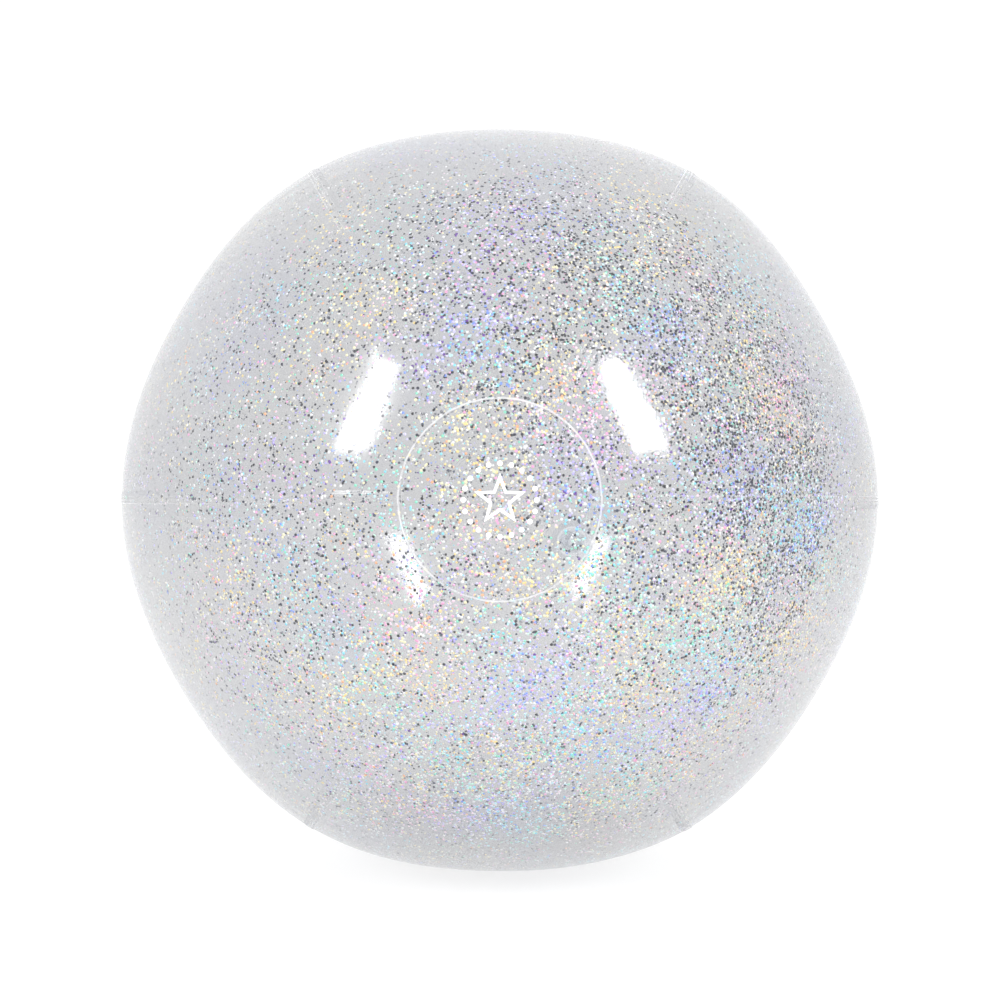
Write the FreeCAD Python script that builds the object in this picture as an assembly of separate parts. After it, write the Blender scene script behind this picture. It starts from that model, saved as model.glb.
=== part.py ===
import FreeCAD, Part
import math
import os
import random

from FreeCAD import Vector

# Inflatable beach ball: six welded film gores, a round cap at each pole, a
# push-in inflation valve with a tethered plug, and loose glitter inside.
# Millimetres. The polar axis lies along Y, the printed cap faces -Y and the
# valve is near the +Y pole. The origin is the centre of the ball, +Z is up, and
# the ball rests on a small flattened patch in the middle of the lowest gore.

# ---- driving dimensions ----------------------------------------------------
BALL_DIAMETER = 350.0     # inflated, across two opposite weld ridges
GORES = 6
HEX_SHARE = 0.018         # how far a gore's middle lies inside the ridges, as a share of the radius
POLE_SHARE = 0.020        # flattening where the flat-cut caps are welded in
FILM = 0.30               # film thickness
WELD_GAP = 0.06           # spacing between two films in a weld
LAP = 3.2                 # width of the lap weld between two gores
JOGGLE = 1.6              # run over which the upper gore steps over the lower one
JOGGLE_ROOM = 0.3         # spacing between that step and the lower gore's edge
GORE_END_R = 33.3         # where the gores stop, measured from the polar axis
CAP_R = 35.5              # cap radius
PATCH_DEPTH = 0.85        # how far the resting film is pressed flat

VALVE_FROM_POLE_DEG = 17.5
VALVE_AZIMUTH_DEG = 330.0
VALVE_HOLE_R = 9.5
FLANGE_R = 13.0
FLANGE_T = 0.8
COLLAR_R_IN, COLLAR_R_OUT, COLLAR_TOP = 8.2, 9.2, 0.9
STEM_R_OUT = 5.2
NOZZLE_R = 3.8            # bore that a pump nozzle enters
SEAT_R, SEAT_BOTTOM = 4.0, 0.1   # slightly wider mouth that the plug sits in
STEM_TOP, STEM_BOTTOM = 3.6, -12.0
RIM_R, RIM_T = 7.2, 0.8
TAB_END, TAB_WIDTH = 11.1, 4.4
STRAP_T, STRAP_WIDTH = 0.7, 3.6
HINGE_X = 11.2            # plug strap's bending line, from the valve axis
EYELET_R_IN, EYELET_R_OUT = 3.2, 5.0
PLUG_R_TOP, PLUG_R_TIP, PLUG_TIP = 3.95, 3.3, 0.3
PLUG_NECK_R, PLUG_HEAD_R, PLUG_HEAD_T = 3.15, 5.2, 1.0
FLAP_R, FLAP_T = 4.9, 0.4
FOLD_T = 0.5

FLAKE_COUNT = 96
FLAKE_ACROSS = 1.2
FLAKE_T = 0.1

R = BALL_DIAMETER / 2
STEP = 2 * math.pi / GORES
TH0 = math.asin(GORE_END_R / (R * (1 - POLE_SHARE)))
TH1 = math.pi - TH0
FLAT_Z = -(R * (1 - HEX_SHARE) - PATCH_DEPTH)


# ---- the inflated surface --------------------------------------------------
def radius(th, ph):
    """Distance of the film's outer face from the centre. th is measured from the -Y pole, ph about Y from +X towards +Z."""
    c, s = math.cos(th), math.sin(th)
    return R * (
        1
        - POLE_SHARE * c**6
        - HEX_SHARE * s * s * 0.5 * (1 - math.cos(GORES * ph))
    )


def point(th, ph, depth=0.0):
    r = radius(th, ph) - depth
    return Vector(
        r * math.sin(th) * math.cos(ph),
        -r * math.cos(th),
        r * math.sin(th) * math.sin(ph),
    )


def across(th, seam, offset):
    """The azimuth at a distance offset to the side of a seam, at th."""
    return seam + offset / (radius(th, seam) * math.sin(th))


def sheet(seam_a, off_a, seam_b, off_b, depth, columns, ext, rows=27):
    """A B-spline sheet from off_a beside one seam to off_b beside another, at one depth."""
    extra = ext / R
    grid = []
    for i in range(rows):
        th = (TH0 - extra) + (TH1 - TH0 + 2 * extra) * i / (rows - 1)
        a, b = across(th, seam_a, off_a), across(th, seam_b, off_b)
        grid.append(
            [point(th, a + (b - a) * j / (columns - 1), depth) for j in range(columns)]
        )
    s = Part.BSplineSurface()
    s.interpolate(grid)
    return s


def ends(s):
    """A sheet's four boundary curves: low azimuth, high azimuth, front end, rear end."""
    u0, u1, v0, v1 = s.bounds()
    return [
        c.toShape() for c in (s.vIso(v0), s.vIso(v1), s.uIso(u0), s.uIso(u1))
    ]


def ruled(a, b):
    return Part.makeRuledSurface(a, b)


def corner_face(p, q, r, s):
    return ruled(Part.makeLine(p, q), Part.makeLine(r, s))


def closed(faces):
    shell = Part.makeShell(faces)
    shell.sewShape()
    solid = Part.makeSolid(shell)
    if solid.Volume < 0:
        solid.reverse()
    return solid


def layer(i, depth_out, depth_in, ext=0.0):
    """Gore i as a closed layer between two depths: the main panel, the step, and the lap over the next gore."""
    seam, nxt = i * STEP, (i + 1) * STEP
    up = FILM + WELD_GAP
    m_end = -(LAP / 2 + JOGGLE_ROOM + JOGGLE)
    l_start = -(LAP / 2 + JOGGLE_ROOM)
    faces, e = [], {}
    for side, d in (("o", depth_out), ("i", depth_in)):
        main = sheet(seam, -LAP / 2 - ext, nxt, m_end, d, 13, ext)
        lap = sheet(nxt, l_start, nxt, LAP / 2 + ext, d - up, 4, ext)
        em, el = ends(main), ends(lap)
        faces += [main.toShape(), lap.toShape(), ruled(em[1], el[0])]
        corners = {}
        um, ul = main.bounds(), lap.bounds()
        for k in (0, 1):
            corners[k] = (
                main.value(um[k], um[3]),
                lap.value(ul[k], ul[2]),
            )
        e[side] = (em, el, corners)
    (mo, lo_, co), (mi, li, ci) = e["o"], e["i"]
    faces += [ruled(mo[0], mi[0]), ruled(lo_[1], li[1])]
    for k in (0, 1):
        faces += [ruled(mo[2 + k], mi[2 + k]), ruled(lo_[2 + k], li[2 + k])]
        faces.append(corner_face(co[k][0], co[k][1], ci[k][0], ci[k][1]))
    return closed(faces)


# ---- gores -----------------------------------------------------------------
def above(z):
    """A block that holds everything above a height."""
    return Part.makeBox(600, 600, 600, Vector(-300, -300, z))


def gore(i):
    return layer(i, 0.0, FILM)


def resting_gore(i):
    """The gore that meets the ground: its film is pressed flat over a small patch, inside and out."""
    outer = layer(i, 0.0, 6.0).common(above(FLAT_Z))
    inner = layer(i, FILM, 8.0, ext=3.0).common(above(FLAT_Z + FILM))
    return outer.cut(inner)


# ---- valve frame -----------------------------------------------------------
TH_V = math.pi - math.radians(VALVE_FROM_POLE_DEG)
PH_V = math.radians(VALVE_AZIMUTH_DEG)
V0 = point(TH_V, PH_V)
STEP_D = 1e-4
V_OUT_POLE = (point(TH_V - STEP_D, PH_V) - point(TH_V + STEP_D, PH_V)).normalize()
V_SIDE = (point(TH_V, PH_V + STEP_D) - point(TH_V, PH_V - STEP_D)).normalize()
V_N = V_OUT_POLE.cross(V_SIDE).normalize()
if V_N.dot(V0) < 0:
    V_N = V_N * -1
V_X = V_OUT_POLE
V_Y = V_N.cross(V_X).normalize()
VALVE = FreeCAD.Placement(
    FreeCAD.Matrix(
        V_X.x, V_Y.x, V_N.x, V0.x,
        V_X.y, V_Y.y, V_N.y, V0.y,
        V_X.z, V_Y.z, V_N.z, V0.z,
        0, 0, 0, 1,
    )
)


def placed(shape):
    out = shape.copy()
    out.transformShape(VALVE.toMatrix(), True)
    return out


def turned(outline):
    """A solid of revolution about the local Z axis, from (radius, height) corners. A corner given as a pair of points makes an arc through them."""
    edges = []
    here = outline[0]
    for step in outline[1:] + [outline[0]]:
        if len(step) == 2 and isinstance(step[0], tuple):
            mid, end = step
            edges.append(
                Part.Arc(
                    Vector(here[0], 0, here[1]),
                    Vector(mid[0], 0, mid[1]),
                    Vector(end[0], 0, end[1]),
                ).toShape()
            )
            here = end
        else:
            edges.append(
                Part.makeLine(
                    Vector(here[0], 0, here[1]), Vector(step[0], 0, step[1])
                )
            )
            here = step
    face = Part.Face(Part.Wire(edges))
    solid = face.revolve(Vector(0, 0, 0), Vector(0, 0, 1), 360)
    if solid.ShapeType != "Solid":
        solid = Part.makeSolid(solid)
    if solid.Volume < 0:
        solid.reverse()
    return solid


def bar(x0, x1, width, z0, z1):
    return Part.makeBox(x1 - x0, width, z1 - z0, Vector(x0, -width / 2, z0))


# ---- caps ------------------------------------------------------------------
def cap(front=True):
    """A round disc of film welded to the inside of the gore ends."""
    th_edge = math.asin(CAP_R / (R * (1 - POLE_SHARE)))
    low = math.pi / GORES

    def arc(depth):
        pts = []
        for k in range(9):
            th = th_edge * k / 8
            r = radius(th, low) - depth
            pts.append(Vector(r * math.sin(th), -r * math.cos(th), 0))
        c = Part.BSplineCurve()
        c.interpolate(pts)
        return c.toShape(), pts

    outer, po = arc(FILM + WELD_GAP)
    inner, pi_ = arc(2 * FILM + WELD_GAP)
    wire = Part.Wire(
        Part.__sortEdges__(
            [
                outer,
                Part.makeLine(po[-1], pi_[-1]),
                inner,
                Part.makeLine(pi_[0], po[0]),
            ]
        )
    )
    solid = Part.Face(wire).revolve(Vector(0, 0, 0), Vector(0, 1, 0), 360)
    if solid.ShapeType != "Solid":
        solid = Part.makeSolid(solid)
    if solid.Volume < 0:
        solid.reverse()
    if not front:
        solid.rotate(Vector(0, 0, 0), Vector(0, 0, 1), 180)
    return solid


# ---- valve pieces, in the valve's own frame --------------------------------
def flange_top(r):
    return -(FILM + 0.12) - r * r / (2 * (R - 4))


def valve_flange():
    """Weld ring under the film, with a collar standing through the hole in the gore."""
    ri, rc, ro = COLLAR_R_IN, COLLAR_R_OUT, FLANGE_R
    mid = (rc + ro) / 2
    midb = (ri + ro) / 2
    return turned(
        [
            (ri, flange_top(ri) - FLANGE_T),
            ((midb, flange_top(midb) - FLANGE_T), (ro, flange_top(ro) - FLANGE_T)),
            (ro, flange_top(ro)),
            ((mid, flange_top(mid)), (rc, flange_top(rc))),
            (rc, COLLAR_TOP - 0.3),
            ((rc - 0.09, COLLAR_TOP - 0.09), (rc - 0.3, COLLAR_TOP)),
            (ri, COLLAR_TOP),
        ]
    )


def valve_fold():
    """The rolling wall between the collar and the stem: a cone that points inwards while the stem is pushed in."""
    ro, ri = COLLAR_R_IN - 0.1, STEM_R_OUT + 0.1
    top, low = -0.5, -6.9
    return turned(
        [
            (ro, top),
            (ro - FOLD_T, top),
            (ri, low + 0.7),
            (ri, low),
            (ri + FOLD_T, low),
            (ro, top - 0.6),
        ]
    )


def valve_stem():
    """The tube that is blown into: a rim to pull on, a seat for the plug in its mouth, and the bore below it for a pump nozzle."""
    tube = turned(
        [
            (SEAT_R, STEM_TOP),
            (RIM_R - 0.25, STEM_TOP),
            ((RIM_R - 0.07, STEM_TOP - 0.07), (RIM_R, STEM_TOP - 0.25)),
            (RIM_R, STEM_TOP - RIM_T),
            (STEM_R_OUT, STEM_TOP - RIM_T),
            (STEM_R_OUT, STEM_BOTTOM),
            (NOZZLE_R, STEM_BOTTOM),
            (NOZZLE_R, SEAT_BOTTOM),
            (SEAT_R, SEAT_BOTTOM),
        ]
    )
    tab = bar(RIM_R - 1.0, TAB_END, TAB_WIDTH, STEM_TOP - RIM_T, STEM_TOP)
    return tube.fuse(tab).removeSplitter()


def check_flap():
    """Round flap over the stem's inner end, held along one edge."""
    top = STEM_BOTTOM - 0.05
    return turned([(0, top), (FLAP_R, top), (FLAP_R, top - FLAP_T), (0, top - FLAP_T)])


def plug_strap():
    z0 = STEM_TOP + 0.05
    z1 = z0 + STRAP_T
    ring = Part.makeCylinder(EYELET_R_OUT, STRAP_T, Vector(0, 0, z0))
    band = bar(2.0, HINGE_X - 0.05, STRAP_WIDTH, z0, z1)
    hole = Part.makeCylinder(EYELET_R_IN, STRAP_T + 2, Vector(0, 0, z0 - 1))
    return ring.fuse(band).cut(hole).removeSplitter()


def valve_plug():
    """Stopper: tapered shank, neck held by the strap's eyelet, and a low round head."""
    neck_top = STEM_TOP + 0.05 + STRAP_T + 0.05
    head_top = neck_top + PLUG_HEAD_T
    return turned(
        [
            (0, PLUG_TIP),
            (PLUG_R_TIP - 0.3, PLUG_TIP),
            (PLUG_R_TIP, PLUG_TIP + 0.3),
            (PLUG_R_TOP, STEM_TOP),
            (PLUG_NECK_R, STEM_TOP),
            (PLUG_NECK_R, neck_top),
            (PLUG_HEAD_R, neck_top),
            (PLUG_HEAD_R, head_top - 0.4),
            (
                (PLUG_HEAD_R - 0.117, head_top - 0.117),
                (PLUG_HEAD_R - 0.4, head_top),
            ),
            (0, head_top),
        ]
    )


# ---- loose glitter ---------------------------------------------------------
def glitter():
    """Hexagonal flakes that cling to the inside of the film."""
    rng = random.Random(7)
    flakes = []
    while len(flakes) < FLAKE_COUNT:
        cos_th = rng.uniform(-0.965, 0.965)
        th, ph = math.acos(cos_th), rng.uniform(0, 2 * math.pi)
        turn = rng.uniform(0, math.pi / 3)
        p = point(th, ph, FILM + 0.15)
        if p.z < FLAT_Z + 4 or (p - V0).Length < 22:
            continue
        e = 1e-4
        n = (point(th + e, ph) - point(th - e, ph)).cross(
            point(th, ph + e) - point(th, ph - e)
        ).normalize()
        if n.dot(p) < 0:
            n = n * -1
        x = n.cross(Vector(0, 1, 0)).normalize()
        y = n.cross(x).normalize()
        ring = []
        for k in range(6):
            a = turn + k * math.pi / 3
            ring.append(
                p + (x * math.cos(a) + y * math.sin(a)) * (FLAKE_ACROSS / 2)
            )
        face = Part.Face(Part.makePolygon(ring + [ring[0]]))
        flakes.append(face.extrude(n * -FLAKE_T))
    return Part.makeCompound(flakes)


# ---- write -----------------------------------------------------------------
parts = {}
for i in range(GORES):
    name = "gore_%d" % (i + 1)
    if i == 4:
        parts[name] = resting_gore(i)
    else:
        parts[name] = gore(i)
hole = placed(Part.makeCylinder(VALVE_HOLE_R, 24, Vector(0, 0, -12)))
parts["gore_6"] = parts["gore_6"].cut(hole)
parts["front_cap"] = cap(True)
parts["rear_cap"] = cap(False)
parts["valve_flange"] = placed(valve_flange())
parts["valve_fold"] = placed(valve_fold())
parts["valve_stem"] = placed(valve_stem())
parts["check_flap"] = placed(check_flap())
parts["plug_strap"] = placed(plug_strap())
parts["valve_plug"] = placed(valve_plug())
parts["glitter_flakes"] = glitter()

os.makedirs("parts", exist_ok=True)
for name, shape in parts.items():
    if shape.ShapeType == "Compound" and len(shape.Solids) == 1:
        shape = shape.Solids[0]
    shape.exportStep("parts/%s.step" % name)
    b = shape.BoundBox
    print(
        "%-15s %-9s solids %3d valid %s volume %10.2f mm3  box %.2f..%.2f %.2f..%.2f %.2f..%.2f"
        % (
            name, shape.ShapeType, len(shape.Solids), shape.isValid(), shape.Volume,
            b.XMin, b.XMax, b.YMin, b.YMax, b.ZMin, b.ZMax,
        )
    )


def show(label, local):
    p = VALVE.multVec(Vector(*local))
    print("%-14s (%.6f, %.6f, %.6f) m" % (label, p.x / 1000, p.y / 1000, p.z / 1000))


print("valve x axis", V_X, "side axis", V_Y, "outward", V_N)
show("valve centre", (0, 0, 0))
show("plug hinge", (HINGE_X, 0, STEM_TOP))
show("flap hinge", (-FLAP_R, 0, STEM_BOTTOM - 0.02))
show("nozzle bore", (0, 0, (STEM_BOTTOM + SEAT_BOTTOM) / 2))
print("flat patch height", FLAT_Z)
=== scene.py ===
import math

import bmesh
import bpy
import numpy as np
from mathutils import Matrix, Vector


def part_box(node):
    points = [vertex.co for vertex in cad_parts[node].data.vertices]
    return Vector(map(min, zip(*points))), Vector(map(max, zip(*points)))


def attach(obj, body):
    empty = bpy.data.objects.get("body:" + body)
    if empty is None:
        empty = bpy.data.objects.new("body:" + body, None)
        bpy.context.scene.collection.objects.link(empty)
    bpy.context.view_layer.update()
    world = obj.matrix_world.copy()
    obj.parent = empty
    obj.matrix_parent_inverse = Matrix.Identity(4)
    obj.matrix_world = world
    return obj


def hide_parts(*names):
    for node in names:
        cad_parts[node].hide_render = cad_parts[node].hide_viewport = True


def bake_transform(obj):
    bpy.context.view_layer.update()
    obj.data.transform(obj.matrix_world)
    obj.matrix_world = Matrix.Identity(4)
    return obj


# Inflatable beach ball of clear film with loose glitter inside. The CAD parts
# are the frame: this script replaces their plain solids with detailed ones of
# the same size and place. Lengths in this file are millimetres until a mesh is
# made, when they become metres.

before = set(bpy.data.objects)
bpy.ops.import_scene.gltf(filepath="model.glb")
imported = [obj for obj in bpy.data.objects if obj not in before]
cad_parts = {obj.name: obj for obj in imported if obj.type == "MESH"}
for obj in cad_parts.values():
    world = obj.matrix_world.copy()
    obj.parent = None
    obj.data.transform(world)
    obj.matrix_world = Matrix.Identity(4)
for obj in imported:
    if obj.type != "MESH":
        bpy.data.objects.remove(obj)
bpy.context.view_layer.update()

MM = 0.001
TAU = 2 * math.pi

# ---- the same driving dimensions as the CAD ---------------------------------
R = 175.0
GORES = 6
HEX_SHARE, POLE_SHARE = 0.018, 0.020
FILM, WELD_GAP = 0.30, 0.06
LAP, JOGGLE, JOGGLE_ROOM = 3.2, 1.6, 0.3
GORE_END_R, CAP_R = 33.3, 35.5
STEP = TAU / GORES
TH0 = math.asin(GORE_END_R / (R * (1 - POLE_SHARE)))
TH1 = math.pi - TH0
FLAT_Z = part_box("gore_5")[0].z / MM



# ---- the inflated surface ----------------------------------------------------
def radius(th, ph):
    c, s = np.cos(th), np.sin(th)
    return R * (1 - POLE_SHARE * c**6 - HEX_SHARE * s * s * 0.5 * (1 - np.cos(GORES * ph)))


def unit(th, ph):
    s = np.sin(th)
    return np.stack([s * np.cos(ph), -np.cos(th) * np.ones_like(ph), s * np.sin(ph)], -1)


def bare_point(th, ph):
    return unit(np.array(th), np.array(ph)) * radius(th, ph)


# the valve's own frame, as in the CAD: V0 on the film, VN outwards, VX away from the pole
_th, _ph, _e = math.pi - math.radians(17.5), math.radians(330), 1e-4
V0 = bare_point(_th, _ph)
VX = bare_point(_th - _e, _ph) - bare_point(_th + _e, _ph)
VX /= np.linalg.norm(VX)
_side = bare_point(_th, _ph + _e) - bare_point(_th, _ph - _e)
VN = np.cross(VX, _side / np.linalg.norm(_side))
VN *= np.sign(VN @ V0) / np.linalg.norm(VN)
VY = np.cross(VN, VX)


def smooth(x, a, b):
    t = np.clip((x - a) / (b - a), 0, 1)
    return t * t * (3 - 2 * t)


WAVES = []
_rng = np.random.default_rng(41)
for _wavelength, _height in ((150, 0.26), (95, 0.11), (62, 0.035), (43, 0.014), (30, 0.006)):
    for _ in range(4):
        _d = _rng.normal(size=3)
        _d /= np.linalg.norm(_d)
        WAVES.append((_d * TAU / _wavelength, _rng.uniform(0, TAU), _height / 2))


def swell(th, ph):
    """How far the film stands off the ideal inflated form: slow waves, puckers along the seams, and fans of creases round the caps."""
    u = unit(th, ph)
    p = u * R
    out = np.zeros(np.broadcast(th, ph).shape)
    for k, phase, height in WAVES:
        out = out + height * np.sin(p @ k + phase)
    s = R * th * np.ones_like(ph)
    sin_th = np.sin(th)
    for k in range(GORES):
        d = (ph - k * STEP + math.pi) % TAU - math.pi
        o = d * R * sin_th
        near = np.exp(-(np.sqrt(o * o + 6.0) - 2.45) / 10.0)
        side = np.where(o > 0, 1.0, -1.0) * smooth(np.abs(o), 0, 5)
        size = 0.13 + 0.07 * np.sin(s / 37 + 1.7 * k) + 0.05 * np.sin(s / 71 + 2.9 * k)
        wave = (
            0.62 * np.sin(TAU * s / 12.7 + 1.3 * k + 1.1 * np.sin(s / 31 + k) + 0.5 * side)
            + 0.50 * np.sin(TAU * s / 20.9 + 2.1 * k + 0.9 * np.sin(s / 47 + 2 * k) - 0.6 * side)
            + 0.22 * np.sin(TAU * s / 8.3 + 0.7 * k + 1.4 * np.sin(s / 23))
        )
        out = out + size * near * wave
        # the weld draws in a very shallow valley along each seam
        out = out - 0.10 * np.exp(-(o * o) / 60.0)
    rr = R * sin_th * np.ones_like(ph)
    for pole in (0, 1):
        hemi = np.cos(th) > 0 if pole == 0 else np.cos(th) <= 0
        ring = np.exp(-np.abs(rr - 34.4) / 8.5) * np.where(hemi, 1.0, 0.0)
        fan = (
            0.55 * np.sin(23 * ph + 1.1 + pole + 0.7 * np.sin(3 * ph))
            + 0.45 * np.sin(37 * ph + 2.3 * pole + 0.8 * np.sin(5 * ph + 1))
            + 0.25 * np.sin(14 * ph + 0.6)
        )
        out = out + 0.11 * ring * fan * smooth(rr, 6, 26)
    away = np.linalg.norm(p * (1 - POLE_SHARE * 0.7) - V0, axis=-1)
    return out * smooth(away, 15, 38)


def skin(th, ph, depth):
    """Points of the film at a depth under its outer face. Film never goes below the ground it rests on."""
    r = radius(th, ph) - depth + swell(th, ph)
    p = unit(th, ph) * r[..., None]
    low = FLAT_Z + np.maximum(depth, 0) + 0.01
    z = p[..., 2]
    p[..., 2] = 0.5 * (z + low + np.sqrt((z - low) ** 2 + 0.02))
    return p


# ---- meshes --------------------------------------------------------------------
def finish_mesh(name, mesh, mats, sharp=38):
    mesh.validate()
    mesh.update()
    mesh.polygons.foreach_set("use_smooth", np.ones(len(mesh.polygons), bool))
    if sharp is not None:
        mesh.set_sharp_from_angle(angle=math.radians(sharp))
    else:
        mesh.polygons.foreach_set("use_smooth", np.zeros(len(mesh.polygons), bool))
    for m in mats:
        mesh.materials.append(m)
    ob = bpy.data.objects.new(name, mesh)
    bpy.context.scene.collection.objects.link(ob)
    return ob


def quads_mesh(name, verts, quads, extra=()):
    mesh = bpy.data.meshes.new(name)
    faces = [tuple(q) for q in quads] + [tuple(f) for f in extra]
    mesh.from_pydata((np.asarray(verts) * MM).tolist(), [], faces)
    return mesh


def add_float(mesh, name, values):
    a = mesh.attributes.new(name, "FLOAT", "POINT")
    a.data.foreach_set("value", np.asarray(values, np.float32))


# ---- gores ---------------------------------------------------------------------
A_OFF = [-1.6, -1.45, -1.0, -0.4, 0.3, 1.0, 1.6, 2.3, 3.2, 4.5, 6.2, 8.2]
B_OFF = [-8.0, -6.2, -4.9, -3.9, -3.5, -3.1, -2.7, -2.3, -1.9, -1.3, -0.6, 0.2, 0.9, 1.45, 1.6]
MIDDLE = 46


def gore_grid(i):
    ends = [0, 0.35, 0.9, 1.7]
    th = np.concatenate(
        [
            [TH0 + e / R for e in ends],
            np.linspace(TH0 + 3.0 / R, TH1 - 3.0 / R, 232),
            [TH1 - e / R for e in reversed(ends)],
        ]
    )
    seam, nxt = i * STEP, (i + 1) * STEP
    w = R * np.sin(th)
    a = seam + np.array(A_OFF)[None, :] / w[:, None]
    b = nxt + np.array(B_OFF)[None, :] / w[:, None]
    t = (np.arange(1, MIDDLE + 1) / (MIDDLE + 1))[None, :]
    mid = a[:, -1:] + (b[:, :1] - a[:, -1:]) * t
    ph = np.concatenate([a, mid, b], 1)
    thg = th[:, None] * np.ones_like(ph)
    off_b = (ph - nxt) * w[:, None]
    lift = (FILM + WELD_GAP) * smooth(off_b, -(LAP / 2 + JOGGLE_ROOM + JOGGLE), -(LAP / 2 + JOGGLE_ROOM))
    off_a = (ph - seam) * w[:, None]
    lap = np.where(np.abs(off_a) < np.abs(off_b), off_a, off_b)
    upper = np.where(np.abs(off_a) < np.abs(off_b), 0.0, 1.0)
    return thg, ph, lift, lap, upper


def gore_mesh(i):
    th, ph, lift, lap, upper = gore_grid(i)
    nr, nc = th.shape
    # the cut edges are slightly rounded: the outermost ring of each face sinks a little
    edge = np.zeros_like(th)
    edge[:, 0] = edge[:, -1] = edge[0, :] = edge[-1, :] = 1
    outer = skin(th, ph, -lift + 0.05 * edge)
    inner = skin(th, ph, -lift + FILM - 0.05 * edge)
    verts = np.concatenate([outer.reshape(-1, 3), inner.reshape(-1, 3)])
    idx = np.arange(nr * nc).reshape(nr, nc)
    inn = idx + nr * nc
    q = [np.stack([idx[:-1, :-1], idx[:-1, 1:], idx[1:, 1:], idx[1:, :-1]], -1).reshape(-1, 4)]
    q.append(np.stack([inn[:-1, :-1], inn[1:, :-1], inn[1:, 1:], inn[:-1, 1:]], -1).reshape(-1, 4))
    q.append(np.stack([idx[:-1, 0], idx[1:, 0], inn[1:, 0], inn[:-1, 0]], -1))
    q.append(np.stack([idx[:-1, -1], inn[:-1, -1], inn[1:, -1], idx[1:, -1]], -1))
    q.append(np.stack([idx[0, :-1], inn[0, :-1], inn[0, 1:], idx[0, 1:]], -1))
    q.append(np.stack([idx[-1, :-1], idx[-1, 1:], inn[-1, 1:], inn[-1, :-1]], -1))
    quads = np.concatenate(q)
    # outward winding
    a, b, c = verts[quads[0, 0]], verts[quads[0, 1]], verts[quads[0, 2]]
    if np.dot(np.cross(b - a, c - b), a) < 0:
        quads = quads[:, ::-1]
    mesh = quads_mesh("film_gore_%d" % (i + 1), verts, quads)
    two = lambda v: np.concatenate([v.ravel(), v.ravel()])
    add_float(mesh, "lap_mm", two(lap))
    add_float(mesh, "upper", two(upper))
    add_float(mesh, "along_mm", two(R * th))
    add_float(mesh, "ring_mm", two(R * (1 - POLE_SHARE) * np.sin(th)))
    add_float(mesh, "around", two(ph))
    return mesh


def lathe(name, outline, n=96, bevel=0.0, bumps=None):
    """A turned piece in the valve's frame, from a closed outline of (radius, height) corners, or one that starts and ends on the axis."""
    pts = rounded(outline, bevel)
    on_axis = pts[0][0] < 1e-6 and pts[-1][0] < 1e-6
    verts, rows = [], []
    for r, z in pts:
        if r < 1e-6:
            rows.append([len(verts)])
            verts.append((0, 0, z))
        else:
            row = []
            for k in range(n):
                a = TAU * k / n
                rr, zz = (r, z) if bumps is None else bumps(r, z, a)
                row.append(len(verts))
                verts.append((rr * math.cos(a), rr * math.sin(a), zz))
            rows.append(row)
    faces = []
    pairs = list(zip(rows, rows[1:]))
    if not on_axis:
        pairs.append((rows[-1], rows[0]))
    for p, q in pairs:
        for k in range(n):
            m = (k + 1) % n
            if len(p) == 1 and len(q) == 1:
                continue
            if len(p) == 1:
                faces.append((p[0], q[m], q[k]))
            elif len(q) == 1:
                faces.append((p[k], p[m], q[0]))
            else:
                faces.append((p[k], p[m], q[m], q[k]))
    mesh = bpy.data.meshes.new(name)
    mesh.from_pydata(verts, [], faces)
    outward(mesh)
    return mesh


def outward(mesh):
    bm = bmesh.new()
    bm.from_mesh(mesh)
    bmesh.ops.recalc_face_normals(bm, faces=bm.faces)
    bm.to_mesh(mesh)
    bm.free()


def rounded(outline, r, steps=4):
    """The outline with each corner turned into a short arc, as moulded pieces have."""
    if r <= 0:
        return outline
    n = len(outline)
    closed = not (outline[0][0] < 1e-6 and outline[-1][0] < 1e-6)
    out = []
    for k, p in enumerate(outline):
        if not closed and k in (0, n - 1):
            out.append(p)
            continue
        a, b = np.array(outline[k - 1]), np.array(outline[(k + 1) % n])
        p = np.array(p)
        la, lb = np.linalg.norm(a - p), np.linalg.norm(b - p)
        d = min(r, 0.42 * la, 0.42 * lb)
        pa, pb = p + (a - p) / la * d, p + (b - p) / lb * d
        for s in range(steps + 1):
            t = s / steps
            out.append(tuple((1 - t) ** 2 * pa + 2 * t * (1 - t) * p + t * t * pb))
    return out


VALVE = Matrix(
    (
        (VX[0] * MM, VY[0] * MM, VN[0] * MM, V0[0] * MM),
        (VX[1] * MM, VY[1] * MM, VN[1] * MM, V0[1] * MM),
        (VX[2] * MM, VY[2] * MM, VN[2] * MM, V0[2] * MM),
        (0, 0, 0, 1),
    )
)


def boolean(ob, cutter, operation):
    m = ob.modifiers.new("b", "BOOLEAN")
    m.operation, m.solver, m.object = operation, "EXACT", cutter
    bpy.context.view_layer.update()
    done = bpy.data.meshes.new_from_object(ob.evaluated_get(bpy.context.evaluated_depsgraph_get()))
    ob.modifiers.clear()
    old = ob.data
    ob.data = done
    bpy.data.meshes.remove(old)
    bpy.data.objects.remove(cutter)
    return ob


def loose(mesh):
    ob = bpy.data.objects.new("cutter", mesh)
    bpy.context.scene.collection.objects.link(ob)
    return ob


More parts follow.
